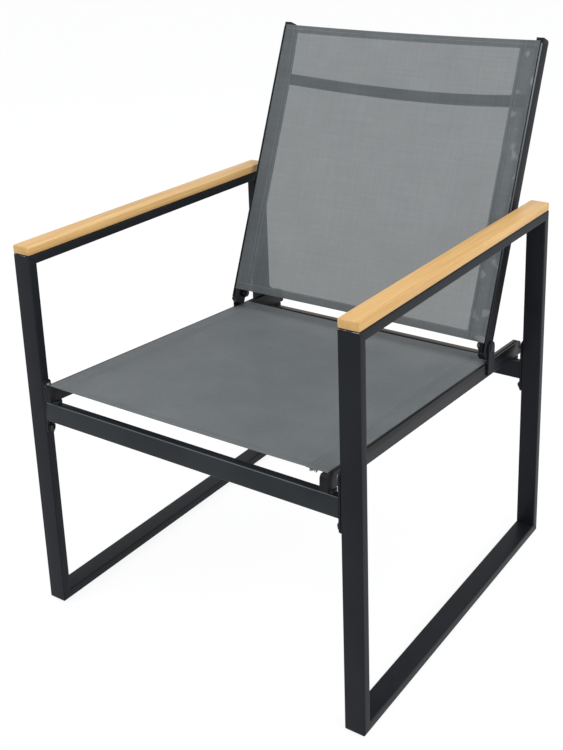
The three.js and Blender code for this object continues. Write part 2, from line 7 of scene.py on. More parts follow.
import bpy
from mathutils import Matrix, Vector


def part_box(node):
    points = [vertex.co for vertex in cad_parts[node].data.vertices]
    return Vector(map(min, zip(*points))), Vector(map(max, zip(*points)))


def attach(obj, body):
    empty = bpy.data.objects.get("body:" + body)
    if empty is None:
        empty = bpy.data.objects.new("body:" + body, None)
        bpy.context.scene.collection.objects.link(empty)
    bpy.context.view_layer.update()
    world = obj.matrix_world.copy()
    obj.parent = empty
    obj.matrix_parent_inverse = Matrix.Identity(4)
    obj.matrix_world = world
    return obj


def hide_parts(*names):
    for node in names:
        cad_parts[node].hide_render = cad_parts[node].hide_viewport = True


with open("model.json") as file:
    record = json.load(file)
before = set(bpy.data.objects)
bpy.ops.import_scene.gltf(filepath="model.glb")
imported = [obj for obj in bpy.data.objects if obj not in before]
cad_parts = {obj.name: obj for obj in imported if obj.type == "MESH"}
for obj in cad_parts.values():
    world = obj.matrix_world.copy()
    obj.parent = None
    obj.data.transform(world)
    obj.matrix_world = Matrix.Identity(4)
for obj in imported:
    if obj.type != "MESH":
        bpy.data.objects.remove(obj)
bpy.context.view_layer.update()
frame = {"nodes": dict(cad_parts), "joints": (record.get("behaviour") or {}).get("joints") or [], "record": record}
nodes = frame["nodes"]
mounts = {mount["name"]: mount for mount in frame["record"]["mounts"]}
pivot = Vector(frame["joints"][0]["pos_m"])

MM = 0.001

# Camera, in the photograph's frame
PHOTO_WIDTH = 563
PHOTO_HEIGHT = 750
FOCAL_PIXELS = 1113.0
CENTRE_PIXEL_X = 332
CENTRE_PIXEL_Y = 222
CAMERA_PLACE = (0.93269, -1.35897, 1.09939)
CAMERA_TURN = (72.758, 1.127, 32.845)
SENSOR = 36
CLIP_NEAR = 0.01
CLIP_FAR = 100

# Places on the frame that the slings follow
BACK_LEAN = math.radians(22.3)
PIVOT_DEPTH = 16.5 * MM
SEAT_TOP_RISE = 1.3 * MM
SHEET_RISE = 1.1 * MM
SLOT_X = 245.9 * MM
SLOT_BEND = 1.0 * MM
SLOT_DROP = 3.2 * MM
CAP_REACH = 4 * MM
CAP_DROP = 0.7 * MM

# Back sling: its ends, measured up from the pivot, and how far its edges bow
BACK_LOW = 5.2 * MM
BACK_HIGH = 492.7 * MM
BACK_DIP = 2.5 * MM
BACK_LIFT = 1.0 * MM
BACK_EDGE_POWER = 6
BACK_SAG = 2.0 * MM
BACK_SAG_FADE = 0.6
BACK_HEM = 14 * MM
BACK_TOP_STITCH = 7 * MM
BACK_LOW_STITCH = 12 * MM

# Seat sling
SEAT_SAG = 2.5 * MM
SEAT_EDGE_SAG = 1.0 * MM
SEAT_REAR_HEM = 24 * MM
SEAT_FRONT_HEM = 14 * MM
SEAT_REAR_STITCH = 21 * MM
SEAT_FRONT_STITCH = 11 * MM

# Side bands: where their seam lies, how far the back's left seam drifts outwards near the top,
# and how much of the band is folded under at the seam
SEAM_X = 214 * MM
LEFT_SEAM_DRIFT = 5 * MM
LEFT_SEAM_DRIFT_POWER = 8
SEAM_FOLD = 10 * MM
SEAM_ROWS = (2 * MM, 8.5 * MM)
SEAM_END = 1.2 * MM
BAND_GAP = 0.55 * MM
FOLD = 0.3 * MM

# Stitches
THREAD_RADIUS = 0.28 * MM
THREAD_SIDES = 6
THREAD_FLATNESS = 0.7
THREAD_PINCH = 0.35
THREAD_FULL = 0.7
STITCH_PITCH = 3.6 * MM
STITCH_SHARE = 0.72
HEM_STITCH_END = 4 * MM

# Frayed tape under the seat's front edge
TAPE_X = 226 * MM
TAPE_WIDTH = 12 * MM
TAPE_LENGTH = 6.5 * MM
TAPE_SHORTEST = 0.55
TAPE_SLANT = 0.5
TAPE_SWAY = 2.5 * MM
TAPE_STRAND = 1.6 * MM
TAPE_TAPER = 0.6
TAPE_STRANDS = 11
TAPE_STEPS = 4
TAPE_SEED = 7

# Cloth mesh steps
ACROSS = 64
ALONG = 56
BEND_STEPS = 4
FOLD_STEPS = 6
BAND_STEPS = 6

# Rigid pieces
JOIN_DISTANCE = 0.00001
SMOOTH_BELOW = math.radians(32)
SHARP_ABOVE = math.radians(60)
RAIL_EDGE = 1.5 * MM
RAIL_EDGE_STEPS = 4

# Powder coats: darker and lighter tone, roughness, specular level
FRAME_COAT = ((0.0100, 0.0115, 0.0145), (0.0135, 0.0155, 0.0195), 0.42, 0.1)
RAIL_COAT = ((0.0075, 0.0085, 0.0110), (0.0110, 0.0125, 0.0160), 0.34, 0.15)
# A paler copy of the frame coat for the front cross rail: painted light
LIT_FRONT_RAIL_COAT = ((0.022, 0.025, 0.029), (0.030, 0.034, 0.038), 0.42, 0.1)
# A darker copy of the rail coat for the right back post: painted shade
SHADED_POST_COAT = ((0.0045, 0.0050, 0.0065), (0.0070, 0.0080, 0.0100), 0.38, 0.06)

# Other rigid materials: darker and lighter tone
PLASTIC = ((0.008, 0.008, 0.009), (0.014, 0.014, 0.016))
STEEL = ((0.020, 0.020, 0.022), (0.045, 0.045, 0.048))
# A paler copy of the bolt steel for the upper plate bolts: painted highlight
HIGHLIT_STEEL = ((0.08, 0.08, 0.085), (0.17, 0.17, 0.175))
WOOD_TONES = [(0.30, (0.56, 0.325, 0.112)), (0.52, (0.68, 0.415, 0.155)), (0.72, (0.76, 0.49, 0.205))]
WOOD_STREAKS = [(0.32, (0.80, 0.76, 0.70)), (0.60, (1.0, 1.0, 1.0))]
WOOD_BROAD_GRAIN = (55, 2.2, 55)
WOOD_FINE_GRAIN = (420, 9, 420)

# Finishes of single pieces, most of them painted light and shade. Facing gives how squarely a face
# has to look one way, from none of the finish to all of it
WHITE = (1.0, 1.0, 1.0)
BLACK = (0.0, 0.0, 0.0)
# Lighter, warmer tone on the rear cross rail's upward faces: painted light
TOP_LIGHT_COLOUR = (0.105, 0.090, 0.080)
# Pale tone for the right post's lip and the front rail's edge: painted sheen and painted highlight
PAINTED_SHEEN = (0.19, 0.205, 0.23)
# Pale patches on the front legs' top edges: painted glints
GLINT_COLOUR = (0.42, 0.40, 0.38)
FACING = (0.6, 0.95)
# Where the painted highlight on the front cross rail's edge lies, and how strong it is
HIGHLIGHT_FACING = (0.92, 0.98)
HIGHLIGHT_AMOUNT = 0.75
LIP_X = 246.9 * MM
# How the painted sheen on the right post's lip fades across and up the post
LIP_SHEEN_FADE = 0.3 * MM
SHEEN_HEIGHTS = (0.48, 0.80)
SHEEN_LEAST = 0.1
RAIL_SHADE = 8 * MM
RAIL_SHADE_FADE = 1.5 * MM
RAIL_SHADE_AMOUNT = 0.9
# Where the painted glints on the front legs lie
GLINT_DROP = 1.0 * MM
GLINT_FADE = 0.4 * MM

# Cloth: openness, darker and lighter tone, unevenness of the threads
SEAT_CLOTH = (0.004, (0.118, 0.131, 0.135), (0.142, 0.156, 0.160), 0.04)
BACK_CLOTH = (0.15, (0.122, 0.137, 0.143), (0.147, 0.164, 0.170), 0.11)
WEAVE_PITCH = 1.3 * MM
HOLE_CONTRAST = 0.45
STREAKS = ((7, 230, 1), (230, 7, 1))
SPOTS_X = 217 * MM
SPOTS_FADE = 4 * MM
SPOT_COLOUR = (0.42, 0.44, 0.45)
SPOT_AMOUNT = 0.32

# Threads: darker and lighter tone
SEAT_THREAD = ((0.11, 0.12, 0.125), (0.17, 0.18, 0.185))
BACK_THREAD = ((0.20, 0.215, 0.225), (0.34, 0.36, 0.37))
HEM_TAPE = ((0.075, 0.070, 0.062), (0.16, 0.15, 0.13))

# Studio. The lights are name, place, size and power
SKY = ((0.95, 0.97, 1.0), 0.62)
SEEN_SKY = (WHITE, 1.0)
FLOOR_COLOUR = (0.8, 0.8, 0.8)
FLOOR_SEEN = (0.14, 0.14, 0.14)
FLOOR_GLOW = 0.9
FLOOR_REACH = 30.0
LIGHT_TARGET = (0, 0, 0.42)
LIGHTS = (
    ("key_light", (2.6, -0.6, 2.0), 1.8, 42),
    ("fill_light", (-1.07, -2.34, 2.7), 1.4, 24),
    ("top_light", (0.2, 0.4, 3.2), 2.4, 24),
)


# Shared helpers


def link(obj):
    bpy.context.scene.collection.objects.link(obj)
    return obj


def mesh_piece(name, points, faces, material, smooth=True):
    """A new object from points and faces, in the frame's own coordinates."""
    mesh = bpy.data.meshes.new(name)
    mesh.from_pydata([tuple(point) for point in points], [], faces)
    mesh.update()
    mesh.polygons.foreach_set("use_smooth", [smooth] * len(mesh.polygons))
    mesh.materials.append(material)
    return link(bpy.data.objects.new(name, mesh))


def grid_faces(columns, rows):
    """Quads of a grid whose points run along its rows first."""
    corners = [(j * columns + i) for j in range(rows - 1) for i in range(columns - 1)]
    return [(at, at + 1, at + columns + 1, at + columns) for at in corners]


def spread(low, high, steps):
    return [low + (high - low) * index / steps for index in range(steps + 1)]


class Plane:
    """A sloping plane: a point is given by its place across, along and proud of it."""

    def __init__(self, origin, along, normal):
        self.origin = Vector(origin)
        self.along = Vector(along)
        self.normal = Vector(normal)

    def at(self, across, along, proud):
        across_vector = Vector((across, 0, 0))
        return self.origin + across_vector + self.along * along + self.normal * proud


def seat_plane():
    """The rails' upper faces: along runs from the pivot to the front."""
    normal = Vector(mounts["seat_top"]["axis"])
    along = Vector((0, -normal.z, normal.y))
    top = Vector(mounts["seat_top"]["pos_m"]) - normal * SEAT_TOP_RISE
    reach = (pivot - top).dot(along)
    return Plane(top + along * reach, along, normal)


def back_plane():
    """The posts' front faces: along runs up from the pivot."""
    along = Vector((0, math.sin(BACK_LEAN), math.cos(BACK_LEAN)))
    normal = Vector((0, -math.cos(BACK_LEAN), math.sin(BACK_LEAN)))
    return Plane(pivot + normal * PIVOT_DEPTH, along, normal)


def seat_ends(plane):
    """How far behind and ahead of the pivot the seat sling reaches, along the seat."""
    low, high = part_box("seat_sling")
    front = Vector((0, low.y, high.z)) - plane.origin
    rear = Vector((0, high.y, low.z)) - plane.origin
    return rear.dot(plane.along), front.dot(plane.along)


# Material helpers. The Mix node's colour sockets are known by their places

COLOUR_A = 6
COLOUR_B = 7
COLOUR_RESULT = 2


def new_material(name):
    material = bpy.data.materials.new(name)
    material.use_nodes = True
    tree = material.node_tree
    tree.nodes.clear()
    output = tree.nodes.new("ShaderNodeOutputMaterial")
    return material, tree, output


def surface(tree, output, roughness, specular, metallic=0.0):
    """The material's shader, with its plain values set."""
    shader = tree.nodes.new("ShaderNodeBsdfPrincipled")
    shader.inputs["Roughness"].default_value = roughness
    shader.inputs["Specular IOR Level"].default_value = specular
    shader.inputs["Metallic"].default_value = metallic
    tree.links.new(shader.outputs["BSDF"], output.inputs["Surface"])
    return shader


def math_node(tree, operation, first, second=None):
    """A math node. Each input is a socket or a plain number."""
    node = tree.nodes.new("ShaderNodeMath")
    node.operation = operation
    for index, value in enumerate((first, second)):
        if value is None:
            continue
        if isinstance(value, (int, float)):
            node.inputs[index].default_value = value
        else:
            tree.links.new(value, node.inputs[index])
    return node.outputs[0]


def stretched(tree, vector, scale):
    mapping = tree.nodes.new("ShaderNodeMapping")
    mapping.inputs["Scale"].default_value = scale
    tree.links.new(vector, mapping.inputs["Vector"])
    return mapping.outputs["Vector"]


def object_vector(tree, scale=(1, 1, 1)):
    """The piece's own coordinates, each multiplied by its scale."""
    coordinates = tree.nodes.new("ShaderNodeTexCoord")
    return stretched(tree, coordinates.outputs["Object"], scale)


def noise(tree, vector, scale, detail=3.0, roughness=0.55):
    node = tree.nodes.new("ShaderNodeTexNoise")
    node.inputs["Scale"].default_value = scale
    node.inputs["Detail"].default_value = detail
    node.inputs["Roughness"].default_value = roughness
    tree.links.new(vector, node.inputs["Vector"])
    return node.outputs["Fac"]


def ramp(tree, factor, stops):
    node = tree.nodes.new("ShaderNodeValToRGB")
    elements = node.color_ramp.elements
    for index, (place, colour) in enumerate(stops):
        element = elements[index] if index < 2 else elements.new(place)
        element.position = place
        element.color = (*colour, 1)
    tree.links.new(factor, node.inputs["Fac"])
    return node.outputs["Color"]


def multiply_colours(tree, first, second, factor=1.0):
    node = tree.nodes.new("ShaderNodeMix")
    node.data_type = "RGBA"
    node.blend_type = "MULTIPLY"
    node.inputs["Factor"].default_value = factor
    tree.links.new(first, node.inputs[COLOUR_A])
    tree.links.new(second, node.inputs[COLOUR_B])
    return node.outputs[COLOUR_RESULT]


def mix_colours(tree, first, plain, amount):
    """The first colour turned towards a plain one by the amount."""
    node = tree.nodes.new("ShaderNodeMix")
    node.data_type = "RGBA"
    node.inputs[COLOUR_B].default_value = (*plain, 1)
    tree.links.new(amount, node.inputs["Factor"])
    tree.links.new(first, node.inputs[COLOUR_A])
    return node.outputs[COLOUR_RESULT]


def map_range(tree, value, low, high, to_low, to_high):
    node = tree.nodes.new("ShaderNodeMapRange")
    node.inputs["From Min"].default_value = low
    node.inputs["From Max"].default_value = high
    node.inputs["To Min"].default_value = to_low
    node.inputs["To Max"].default_value = to_high
    tree.links.new(value, node.inputs["Value"])
    return node.outputs["Result"]


def bump(tree, height, strength, distance):
    node = tree.nodes.new("ShaderNodeBump")
    node.inputs["Strength"].default_value = strength
    node.inputs["Distance"].default_value = distance
    tree.links.new(height, node.inputs["Height"])
    return node.outputs["Normal"]


def along_axis(tree, socket, axis):
    """How far a node's vector reaches along a fixed direction."""
    node = tree.nodes.new("ShaderNodeVectorMath")
    node.operation = "DOT_PRODUCT"
    node.inputs[1].default_value = axis
    coordinates = tree.nodes.new("ShaderNodeTexCoord")
    tree.links.new(coordinates.outputs[socket], node.inputs[0])
    return node.outputs["Value"]


# Materials


def painted_top_light(tree, colour):
    """The colour, lighter and warmer in patches on the faces that look up: painted light."""
    up = map_range(tree, along_axis(tree, "Normal", (0, 0, 1)), *FACING, 0, 1)
    patches = noise(tree, object_vector(tree), scale=35.0, detail=4.0)
    amount = math_node(tree, "MULTIPLY", up, map_range(tree, patches, 0.3, 0.6, 0.75, 1.0))
    return mix_colours(tree, colour, TOP_LIGHT_COLOUR, amount)


def painted_glints(tree, colour):
    """The colour, with pale patches along the front legs' top edges, just under the armrests: painted glints."""
    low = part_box("right_front_leg")[1].z - GLINT_DROP
    height = along_axis(tree, "Object", (0, 0, 1))
    edge = map_range(tree, height, low, low + GLINT_FADE, 0, 1)
    patches = noise(tree, object_vector(tree), scale=150.0, detail=3.0)
    amount = math_node(tree, "MULTIPLY", edge, map_range(tree, patches, 0.50, 0.56, 0, 1))
    return mix_colours(tree, colour, GLINT_COLOUR, amount)


def painted_lip_sheen(tree, colour):
    """The colour, paler on the lip beside the sling, more so higher up the post: a painted sheen."""
    front = (0, -math.cos(BACK_LEAN), math.sin(BACK_LEAN))
    facing = map_range(tree, along_axis(tree, "Normal", front), *FACING, 0, 1)
    outside = map_range(tree, along_axis(tree, "Object", (1, 0, 0)), LIP_X, LIP_X + LIP_SHEEN_FADE, 0, 1)
    height = map_range(tree, along_axis(tree, "Object", (0, 0, 1)), *SHEEN_HEIGHTS, SHEEN_LEAST, 1)
    amount = math_node(tree, "MULTIPLY", math_node(tree, "MULTIPLY", facing, outside), height)
    return mix_colours(tree, colour, PAINTED_SHEEN, amount)


def painted_edge_highlight(tree, colour):
    """The colour, paler along a rounded edge that faces up and to the front: a painted highlight."""
    facing = along_axis(tree, "Normal", (0, -math.sqrt(0.5), math.sqrt(0.5)))
    amount = map_range(tree, facing, *HIGHLIGHT_FACING, 0, HIGHLIGHT_AMOUNT)
    return mix_colours(tree, colour, PAINTED_SHEEN, amount)


def shaded_top(tree, colour):
    """The colour, darker on the upper part of a seat rail's outer side."""
    plane = seat_plane()
    level = plane.at(0, 0, -RAIL_SHADE).dot(plane.normal)
    height = along_axis(tree, "Object", plane.normal)
    amount = map_range(tree, height, level - RAIL_SHADE_FADE, level, 0, RAIL_SHADE_AMOUNT)
    return mix_colours(tree, colour, BLACK, amount)


def pale_spots(tree, colour):
    """The colour, with faint pale smudges down the back sling's right band."""
    place = along_axis(tree, "Object", (1, 0, 0))
    band = map_range(tree, place, SPOTS_X, SPOTS_X + SPOTS_FADE, 0, 1)
    lumps = noise(tree, object_vector(tree), scale=62.0, detail=0.0)
    smudges = map_range(tree, lumps, 0.64, 0.74, 0, SPOT_AMOUNT)
    return mix_colours(tree, colour, SPOT_COLOUR, math_node(tree, "MULTIPLY", band, smudges))


def powder_coat(name, dark, light, roughness, specular, finish=None):
    """Satin powder coat: fine orange peel, a faint drift of tone and a few scuffs."""
    material, tree, output = new_material(name)
    shader = surface(tree, output, roughness, specular)
    vector = object_vector(tree)
    tone = noise(tree, vector, scale=9.0, detail=2.0)
    colour = ramp(tree, tone, [(0.35, dark), (0.65, light)])
    scuff = noise(tree, object_vector(tree, (1, 1, 6)), scale=70.0, detail=5.0, roughness=0.7)
    wear_and_highlight = ramp(tree, scuff, [(0.62, WHITE), (0.74, (1.5, 1.5, 1.45))])
    coat = multiply_colours(tree, colour, wear_and_highlight)
    if finish:
        coat = finish(tree, coat)
    tree.links.new(coat, shader.inputs["Base Color"])
    rough = map_range(tree, tone, 0.3, 0.7, roughness - 0.04, roughness + 0.04)
    tree.links.new(rough, shader.inputs["Roughness"])
    peel = noise(tree, vector, scale=850.0, detail=2.0)
    uneven = bump(tree, peel, strength=0.25, distance=0.2 * MM)
    tree.links.new(uneven, shader.inputs["Normal"])
    return material


def moulded_plastic(name, dark, light):
    """Black plastic of the caps, plugs and glides, with a fine moulded grain."""
    material, tree, output = new_material(name)
    shader = surface(tree, output, roughness=0.48, specular=0.12)
    vector = object_vector(tree)
    tone = noise(tree, vector, scale=60.0, detail=2.0)
    tree.links.new(ramp(tree, tone, [(0.3, dark), (0.7, light)]), shader.inputs["Base Color"])
    tree.links.new(map_range(tree, tone, 0.3, 0.7, 0.42, 0.55), shader.inputs["Roughness"])
    grain = noise(tree, vector, scale=1400.0, detail=1.0)
    uneven = bump(tree, grain, strength=0.3, distance=0.15 * MM)
    tree.links.new(uneven, shader.inputs["Normal"])
    return material


def dark_steel(name, dark, light):
    """Plated steel of the bolts, nuts and screws."""
    material, tree, output = new_material(name)
    shader = surface(tree, output, roughness=0.35, specular=0.5, metallic=0.85)
    tone = noise(tree, object_vector(tree), scale=240.0, detail=3.0)
    tree.links.new(ramp(tree, tone, [(0.3, dark), (0.7, light)]), shader.inputs["Base Color"])
    tree.links.new(map_range(tree, tone, 0.3, 0.7, 0.28, 0.42), shader.inputs["Roughness"])
    return material


def honey_wood(name):
    """Pale honey wood: fine straight grain along the armrest under a satin clear coat."""
    material, tree, output = new_material(name)
    shader = surface(tree, output, roughness=0.44, specular=0.35)
    broad_vector = object_vector(tree, WOOD_BROAD_GRAIN)
    broad = noise(tree, broad_vector, scale=1.0, detail=4.0, roughness=0.6)
    fine_vector = object_vector(tree, WOOD_FINE_GRAIN)
    fine = noise(tree, fine_vector, scale=1.0, detail=3.0, roughness=0.6)
    board = ramp(tree, broad, WOOD_TONES)
    streak = ramp(tree, fine, WOOD_STREAKS)
    tree.links.new(multiply_colours(tree, board, streak, 0.6), shader.inputs["Base Color"])
    tree.links.new(map_range(tree, fine, 0.3, 0.7, 0.5, 0.38), shader.inputs["Roughness"])
    uneven = bump(tree, fine, strength=0.22, distance=0.25 * MM)
    tree.links.new(uneven, shader.inputs["Normal"])
    return material


def thread_waves(tree, vector):
    """One where threads cross, down to minus one in the holes of the weave."""
    split = tree.nodes.new("ShaderNodeSeparateXYZ")
    tree.links.new(vector, split.inputs["Vector"])
    waves = []
    for axis in ("X", "Y"):
        turn = math_node(tree, "MULTIPLY", split.outputs[axis], 2 * math.pi / WEAVE_PITCH)
        waves.append(math_node(tree, "SINE", turn))
    return math_node(tree, "MULTIPLY", waves[0], waves[1])


def woven_mesh(name, openness, dark, light, unevenness, finish=None):
    """Coated mesh cloth. UVs are in metres along the threads, and its holes let light through."""
    material, tree, output = new_material(name)
    shader = surface(tree, output, roughness=0.62, specular=0.3)
    uv = tree.nodes.new("ShaderNodeUVMap")
    uv.uv_map = "threads"
    vector = uv.outputs["UV"]
    weave = thread_waves(tree, vector)
    drift = noise(tree, vector, scale=14.0, detail=3.0)
    tone = ramp(tree, drift, [(0.3, dark), (0.7, light)])
    slub = noise(tree, vector, scale=160.0, detail=2.0)
    speckle = ramp(tree, slub, [(0.3, (0.92, 0.92, 0.92)), (0.7, WHITE)])
    cloth = multiply_colours(tree, tone, speckle)
    for streak in STREAKS:
        uneven = noise(tree, stretched(tree, vector, streak), scale=1.0, detail=2.0)
        threads = ramp(tree, uneven, [(0.3, (1 - unevenness,) * 3), (0.7, WHITE)])
        cloth = multiply_colours(tree, cloth, threads)
    if finish:
        cloth = finish(tree, cloth)
    tree.links.new(cloth, shader.inputs["Base Color"])
    raised = bump(tree, weave, strength=0.35, distance=0.3 * MM)
    tree.links.new(raised, shader.inputs["Normal"])
    most = openness * (1 + HOLE_CONTRAST)
    least = openness * (1 - HOLE_CONTRAST)
    see_through = map_range(tree, weave, -1, 1, most, least)
    clear = tree.nodes.new("ShaderNodeBsdfTransparent")
    blend = tree.nodes.new("ShaderNodeMixShader")
    tree.links.new(see_through, blend.inputs["Fac"])
    tree.links.new(shader.outputs["BSDF"], blend.inputs[1])
    tree.links.new(clear.outputs["BSDF"], blend.inputs[2])
    tree.links.new(blend.outputs["Shader"], output.inputs["Surface"])
    return material


def sewing_thread(name, dark, light):
    """Thread or tape with a slightly mottled tone."""
    material, tree, output = new_material(name)
    shader = surface(tree, output, roughness=0.6, specular=0.4)
    tone = noise(tree, object_vector(tree), scale=900.0, detail=2.0)
    tree.links.new(ramp(tree, tone, [(0.3, dark), (0.7, light)]), shader.inputs["Base Color"])
    return material


# Slings


class Sling:
    """What one sling follows: its plane, ends, hems, seams and the bow of its edges."""

    def __init__(self, node, plane, ends, hems, hem_stitches, seam_x, bow):
        self.node = node
        self.plane = plane
        self.low, self.high = ends
        self.low_hem, self.high_hem = hems
        self.hem_stitches = hem_stitches
        self.seam_x = seam_x
        self.bow = bow

    def share(self, along):
        return (along - self.low) / (self.high - self.low)

    def at(self, x, along, proud):
        """A point over the plane, moved as the stretched cloth bows there."""
        shift, sag = self.bow(x / SLOT_X, self.share(along))
        return self.plane.at(x, along + shift, proud - sag)

    def slot_drop(self, along, drop):
        """How deep the cloth's side lies: down in the slot, or flat on the cap past its end."""
        on_cap = along < self.low + CAP_REACH or along > self.high - CAP_REACH
        return min(drop, CAP_DROP) if on_cap else drop


def set_thread_uvs(obj, places):
    """UVs in metres along the cloth's two threads, one for each point."""
    layer = obj.data.uv_layers.new(name="threads")
    for loop in obj.data.loops:
        layer.data[loop.index].uv = places[loop.vertex_index]


def across_profile():
    """Places across the cloth, from slot to slot: (x, drop, length along the cloth)."""
    flat_end = SLOT_X - SLOT_BEND
    half = [(x, 0.0, x) for x in spread(0, flat_end, ACROSS // 2)]
    for angle in spread(0, math.pi / 2, BEND_STEPS)[1:]:
        x = flat_end + SLOT_BEND * math.sin(angle)
        half.append((x, SLOT_BEND * (1 - math.cos(angle)), flat_end + SLOT_BEND * angle))
    half.append((SLOT_X, SLOT_DROP, half[-1][2] + SLOT_DROP - SLOT_BEND))
    left = [(-x, drop, -length) for x, drop, length in reversed(half[1:])]
    return left + half


def fold_turn():
    """The half circle of a folded edge: (how far it bulges, how deep it is), for a radius of one."""
    return [(math.sin(angle), 1 - math.cos(angle)) for angle in spread(0, math.pi, FOLD_STEPS)]


def along_profile(sling):
    """Places along the cloth with its hems folded under: (along, drop, length along it)."""
    turn = fold_turn()
    low, high = sling.low, sling.high
    points = [(low + sling.low_hem, 2 * FOLD)]
    points += [(low + FOLD * (1 - s), FOLD * (2 - d)) for s, d in turn]
    points += [(place, 0.0) for place in spread(low + FOLD, high - FOLD, ALONG)[1:-1]]
    points += [(high - FOLD * (1 - s), FOLD * d) for s, d in turn]
    points += [(high - sling.high_hem, 2 * FOLD)]
    lengths = [0.0]
    for (a, b), (c, d) in zip(points, points[1:]):
        lengths.append(lengths[-1] + math.hypot(c - a, d - b))
    return [(a, d, length) for (a, d), length in zip(points, lengths)]


def main_cloth(sling, material):
    """The stretched sheet with its folded hems, down into the slot on both sides."""
    columns = across_profile()
    rows = along_profile(sling)
    points, places = [], []
    for along, hem_drop, length in rows:
        for x, drop, width in columns:
            proud = SHEET_RISE - hem_drop - sling.slot_drop(along, drop)
            points.append(sling.at(x, along, proud))
            places.append((width, length))
    faces = grid_faces(len(columns), len(rows))
    obj = mesh_piece(f"{sling.node}_cloth", points, faces, material)
    set_thread_uvs(obj, places)
    return obj


def side_band(sling, side, word, material):
    """The cloth's side, turned back under the sheet to the seam, where its raw edge folds under."""
    rows = spread(sling.low + FOLD, sling.high - FOLD, ALONG)
    points, places = [], []
    for along in rows:
        inner = sling.seam_x(side, sling.share(along))
        columns = [(x, 0.0) for x in spread(SLOT_X - SLOT_BEND, inner + FOLD, BAND_STEPS)]
        columns += [(inner + FOLD * (1 - s), FOLD * d) for s, d in fold_turn()[1:]]
        columns.append((inner + SEAM_FOLD, 2 * FOLD))
        for x, drop in columns:
            points.append(sling.at(side * x, along, SHEET_RISE - BAND_GAP - drop))
            places.append((side * (x + drop), along))
    faces = grid_faces(len(points) // len(rows), len(rows))
    obj = mesh_piece(f"{sling.node}_{word}_band", points, faces, material)
    set_thread_uvs(obj, places)
    return obj


def stitch(centre, direction, up):
    """One stitch: a short bar of thread with pinched ends, as points and faces."""
    half = STITCH_PITCH * STITCH_SHARE / 2
    across = direction.cross(up)
    full = half * THREAD_FULL
    rings = [(-half, THREAD_PINCH), (-full, 1.0), (full, 1.0), (half, THREAD_PINCH)]
    points, faces = [], []
    for offset, share in rings:
        for index in range(THREAD_SIDES):
            angle = 2 * math.pi * index / THREAD_SIDES
            wide = across * math.cos(angle) + up * math.sin(angle) * THREAD_FLATNESS
            points.append(centre + direction * offset + wide * THREAD_RADIUS * share)
    for ring in range(len(rings) - 1):
        base = ring * THREAD_SIDES
        for index in range(THREAD_SIDES):
            after = (index + 1) % THREAD_SIDES
            far = base + THREAD_SIDES
            faces.append((base + index, base + after, far + after, far + index))
    faces.append(tuple(reversed(range(THREAD_SIDES))))
    faces.append(tuple(range((len(rings) - 1) * THREAD_SIDES, len(rings) * THREAD_SIDES)))
    return points, faces


def stitching(sling, lines, material):
    """Rows of stitches, one row along each line of points."""
    points, faces = [], []
    for line in lines:
        travelled = 0.0
        following = STITCH_PITCH / 2
        for start, end in zip(line, line[1:]):
            step = (end - start).length
            direction = (end - start).normalized()
            while following <= travelled + step:
                centre = start + direction * (following - travelled)
                made, made_faces = stitch(centre, direction, sling.plane.normal)
                base = len(points)
                points += made
                faces += [tuple(base + index for index in face) for face in made_faces]
                following += STITCH_PITCH
            travelled += step
    return mesh_piece(f"{sling.node}_stitching", points, faces, material)


def stitched_lines(sling):
    """Two rows along each side seam and one along each hem."""
    rise = SHEET_RISE + THREAD_RADIUS * THREAD_FLATNESS / 2
    lines = []
    for side in (-1, 1):
        for inset in SEAM_ROWS:
            alongs = spread(sling.low + SEAM_END, sling.high - SEAM_END, ALONG)
            seams = [side * (sling.seam_x(side, sling.share(along)) + inset) for along in alongs]
            lines.append([sling.at(x, along, rise) for x, along in zip(seams, alongs)])
    low_stitch, high_stitch = sling.hem_stitches
    edge = SLOT_X - HEM_STITCH_END
    for along in (sling.low + low_stitch, sling.high - high_stitch):
        lines.append([sling.at(x, along, rise) for x in spread(-edge, edge, ACROSS)])
    return lines


def back_bow(across, share):
    """The back's top edge dips between the posts and its bottom edge rises a little."""
    pull = 1 - across * across
    lift = BACK_LIFT * (1 - share) ** BACK_EDGE_POWER
    dip = BACK_DIP * share ** BACK_EDGE_POWER
    shift = pull * (lift - dip)
    sag = BACK_SAG * pull * (1 - BACK_SAG_FADE * (2 * share - 1) ** 2)
    return shift, sag


def seat_bow(across, share):
    """The seat hangs a little between its rails."""
    pull = 1 - across * across
    sag = (SEAT_EDGE_SAG + (SEAT_SAG - SEAT_EDGE_SAG) * (1 - (2 * share - 1) ** 2)) * pull
    return 0.0, sag


def back_seam(side, share):
    """Both seams run straight, but the left one turns out near the top."""
    drift = LEFT_SEAM_DRIFT * share ** LEFT_SEAM_DRIFT_POWER if side < 0 else 0.0
    return SEAM_X + drift


def seat_seam(side, share):
    """Both seams run straight."""
    return SEAM_X


def frayed_tape(sling, material):
    """A loose end of hem tape that hangs below the seat's front edge, with frayed threads."""
    rng = random.Random(TAPE_SEED)
    points, faces = [], []
    for strand in range(TAPE_STRANDS):
        share = strand / (TAPE_STRANDS - 1)
        x = TAPE_X + TAPE_WIDTH * (share - 0.5)
        kept = TAPE_SHORTEST + (1 - TAPE_SHORTEST) * rng.random()
        length = TAPE_LENGTH * kept * (1 - TAPE_SLANT * share)
        sway = TAPE_SWAY * (rng.random() - 0.5)
        base = len(points)
        for step in spread(0, 1, TAPE_STEPS):
            half = TAPE_STRAND * (1 - TAPE_TAPER * step) / 2
            along = sling.high - FOLD + TAPE_SWAY * math.sin(step * math.pi / 2) * share
            proud = SHEET_RISE - FOLD - length * step
            for side in (-1, 1):
                points.append(sling.at(x + sway * step * step + side * half, along, proud))
        faces += [tuple(base + index for index in face) for face in grid_faces(2, TAPE_STEPS + 1)]
    return mesh_piece(f"{sling.node}_frayed_tape", points, faces, material, smooth=False)


